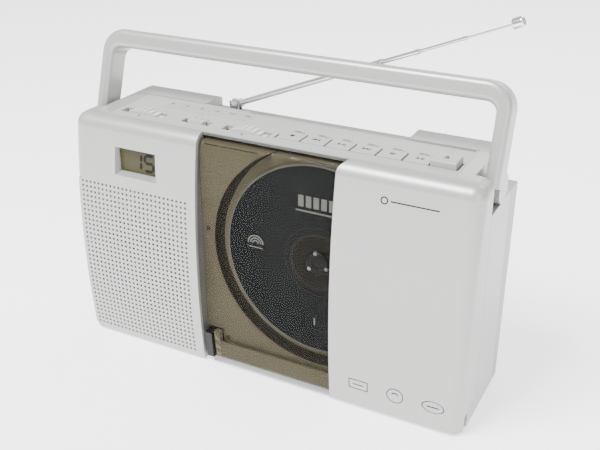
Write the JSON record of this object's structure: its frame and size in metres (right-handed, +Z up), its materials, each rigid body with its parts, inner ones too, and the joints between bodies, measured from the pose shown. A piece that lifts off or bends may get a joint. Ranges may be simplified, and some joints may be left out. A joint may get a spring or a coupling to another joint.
{
  "type": "portable radio with upright disc player",
  "caption": "Portable radio and upright disc player: perforated speaker front, smoked drop-down door, top keys and thumb wheels, folding carry handle, telescopic antenna.",
  "frame": {"origin": "on the resting surface, under the middle of the body", "axes": "+X to the user's right, +Y to the rear, +Z up; the front with the door faces -Y"},
  "size_m": [0.2622, 0.0772, 0.2268],
  "materials": {
    "silver_paint": "silver paint on plastic, satin",
    "panel_grey": "light grey moulding, fine matt texture",
    "grey_plastic": "grey case moulding, fine texture",
    "smoked_window": "smoked clear plastic, polished",
    "deck_taupe": "dark taupe moulding",
    "black_plastic": "black moulding",
    "charcoal_plastic": "charcoal moulding",
    "disc_print": "printed disc face, dark slate",
    "steel": "plain steel",
    "chrome": "chrome plated tube",
    "brass": "plated contact",
    "lcd": "olive grey display",
    "rubber": "soft rubber",
    "felt": "black foam and felt",
    "paper_cone": "treated paper cone",
    "board": "green circuit board",
    "ferrite": "ferrite",
    "iron": "laminated core and magnet",
    "wheel_white": "off-white moulding"
  },
  "bodies": {
    "case": {"speaker_panel": "silver_paint", "speaker_grille": "silver_paint", "lcd_glass": "lcd", "speaker_gasket": "felt", "speaker_basket": "steel", "speaker_cone": "paper_cone", "speaker_magnet": "iron", "middle_case": "silver_paint", "rear_case": "grey_plastic", "case_screws": "steel", "feet": "rubber", "battery_bay": "charcoal_plastic", "battery_contacts": "brass", "headphone_jack": "black_plastic", "mains_inlet": "black_plastic", "mains_pins": "brass", "hinge_blocks": "charcoal_plastic", "hinge_pins": "steel", "disc_deck": "deck_taupe", "mechanism_chassis": "charcoal_plastic", "dampers": "rubber", "guide_rods": "steel", "spindle_motor": "steel", "sled_motor": "steel", "top_panel": "panel_grey", "control_board": "board", "volume_control": "charcoal_plastic", "tuning_capacitor": "charcoal_plastic", "switch_body": "charcoal_plastic", "ferrite_rod": "ferrite", "main_board": "board", "transformer": "iron", "handle_pins": "steel"},
    "door": {"door_cover": "silver_paint", "door_window": "smoked_window", "door_liner": "charcoal_plastic", "door_fittings": "charcoal_plastic"},
    "battery_cover": {"battery_door": "grey_plastic"},
    "spindle": {"disc": "disc_print", "turntable": "black_plastic", "hub_balls": "steel"},
    "screw": {"lead_screw": "steel"},
    "sled": {"pickup_sled": "black_plastic"},
    "key_1": {"key_1": "panel_grey"},
    "key_2": {"key_2": "panel_grey"},
    "key_3": {"key_3": "panel_grey"},
    "key_4": {"key_4": "panel_grey"},
    "key_5": {"key_5": "panel_grey"},
    "key_6": {"key_6": "panel_grey"},
    "open_key": {"open_button": "panel_grey"},
    "volume": {"volume_wheel": "wheel_white"},
    "tuning": {"tuning_wheel": "wheel_white"},
    "band_switch": {"switch_knob": "wheel_white"},
    "handle": {"handle": "silver_paint"},
    "antenna_turn": {"antenna_swivel": "chrome"},
    "antenna_arm": {"antenna_base": "chrome"},
    "antenna_second": {"antenna_stage_2": "chrome"},
    "antenna_third": {"antenna_stage_3": "chrome"},
    "antenna_last": {"antenna_rod": "chrome"}
  },
  "joints": [
    {"name": "door_hinge", "type": "hinge", "parent": "case", "child": "door", "pos_m": [0, -0.03, 0.009], "axis": [1, 0, 0], "range_deg": [0, 50]},
    {"name": "battery_hinge", "type": "hinge", "parent": "case", "child": "battery_cover", "pos_m": [0, 0.0374, 0.01135], "axis": [-1, 0, 0], "range_deg": [0, 80]},
    {"name": "spindle_spin", "type": "hinge", "parent": "case", "child": "spindle", "pos_m": [0.037, 0, 0.0874], "axis": [0, 1, 0], "continuous": true},
    {"name": "screw_spin", "type": "hinge", "parent": "case", "child": "screw", "pos_m": [0.09, -0.013, 0.0784], "axis": [1, 0, 0], "range_deg": [0, 3970]},
    {"name": "sled_slide", "type": "slide", "parent": "case", "child": "sled", "axis": [1, 0, 0], "range_m": [0, 0.033]},
    {"name": "key_1_press", "type": "slide", "parent": "case", "child": "key_1", "axis": [0, 0, -1], "range_m": [0, 0.0008], "stiffness_N_per_m": 1500, "springref_m": -0.0004},
    {"name": "key_2_press", "type": "slide", "parent": "case", "child": "key_2", "axis": [0, 0, -1], "range_m": [0, 0.0008], "stiffness_N_per_m": 1500, "springref_m": -0.0004},
    {"name": "key_3_press", "type": "slide", "parent": "case", "child": "key_3", "axis": [0, 0, -1], "range_m": [0, 0.0008], "stiffness_N_per_m": 1500, "springref_m": -0.0004},
    {"name": "key_4_press", "type": "slide", "parent": "case", "child": "key_4", "axis": [0, 0, -1], "range_m": [0, 0.0008], "stiffness_N_per_m": 1500, "springref_m": -0.0004},
    {"name": "key_5_press", "type": "slide", "parent": "case", "child": "key_5", "axis": [0, 0, -1], "range_m": [0, 0.0008], "stiffness_N_per_m": 1500, "springref_m": -0.0004},
    {"name": "key_6_press", "type": "slide", "parent": "case", "child": "key_6", "axis": [0, 0, -1], "range_m": [0, 0.0008], "stiffness_N_per_m": 1500, "springref_m": -0.0004},
    {"name": "open_press", "type": "slide", "parent": "case", "child": "open_key", "axis": [0, 0, -1], "range_m": [0, 0.002], "stiffness_N_per_m": 900, "springref_m": -0.0008},
    {"name": "volume_turn", "type": "hinge", "parent": "case", "child": "volume", "pos_m": [-0.09, -0.0124, 0.136], "axis": [0, 1, 0], "range_deg": [-150, 150]},
    {"name": "tuning_turn", "type": "hinge", "parent": "case", "child": "tuning", "pos_m": [-0.0175, -0.0124, 0.136], "axis": [0, 1, 0], "range_deg": [-90, 90]},
    {"name": "band_slide", "type": "slide", "parent": "case", "child": "band_switch", "axis": [1, 0, 0], "range_m": [-0.0042, 0.0042]},
    {"name": "handle_fold", "type": "hinge", "parent": "case", "child": "handle", "pos_m": [0, 0.0021, 0.141], "axis": [1, 0, 0], "range_deg": [0, 20]},
    {"name": "antenna_swivel", "type": "hinge", "parent": "case", "child": "antenna_turn", "pos_m": [-0.048, 0.0256, 0.1536], "axis": [0, 0, 1], "range_deg": [0, 180]},
    {"name": "antenna_tilt", "type": "hinge", "parent": "antenna_turn", "child": "antenna_arm", "pos_m": [-0.048, 0.0256, 0.1536], "axis": [0, -1, 0], "range_deg": [-20, 68]},
    {"name": "stage_2_slide", "type": "slide", "parent": "antenna_arm", "child": "antenna_second", "axis": [0.9272, 0, 0.3746], "range_m": [-0.0215, 0.07]},
    {"name": "stage_3_slide", "type": "slide", "parent": "antenna_second", "child": "antenna_third", "axis": [0.9272, 0, 0.3746], "range_m": [-0.0265, 0.062]},
    {"name": "stage_4_slide", "type": "slide", "parent": "antenna_third", "child": "antenna_last", "axis": [0.9272, 0, 0.3746], "range_m": [-0.0235, 0.06]}
  ],
  "couplings": [
    {"joint": "screw_spin", "follows": "sled_slide", "rad_per_m": 2094.4}
  ]
}
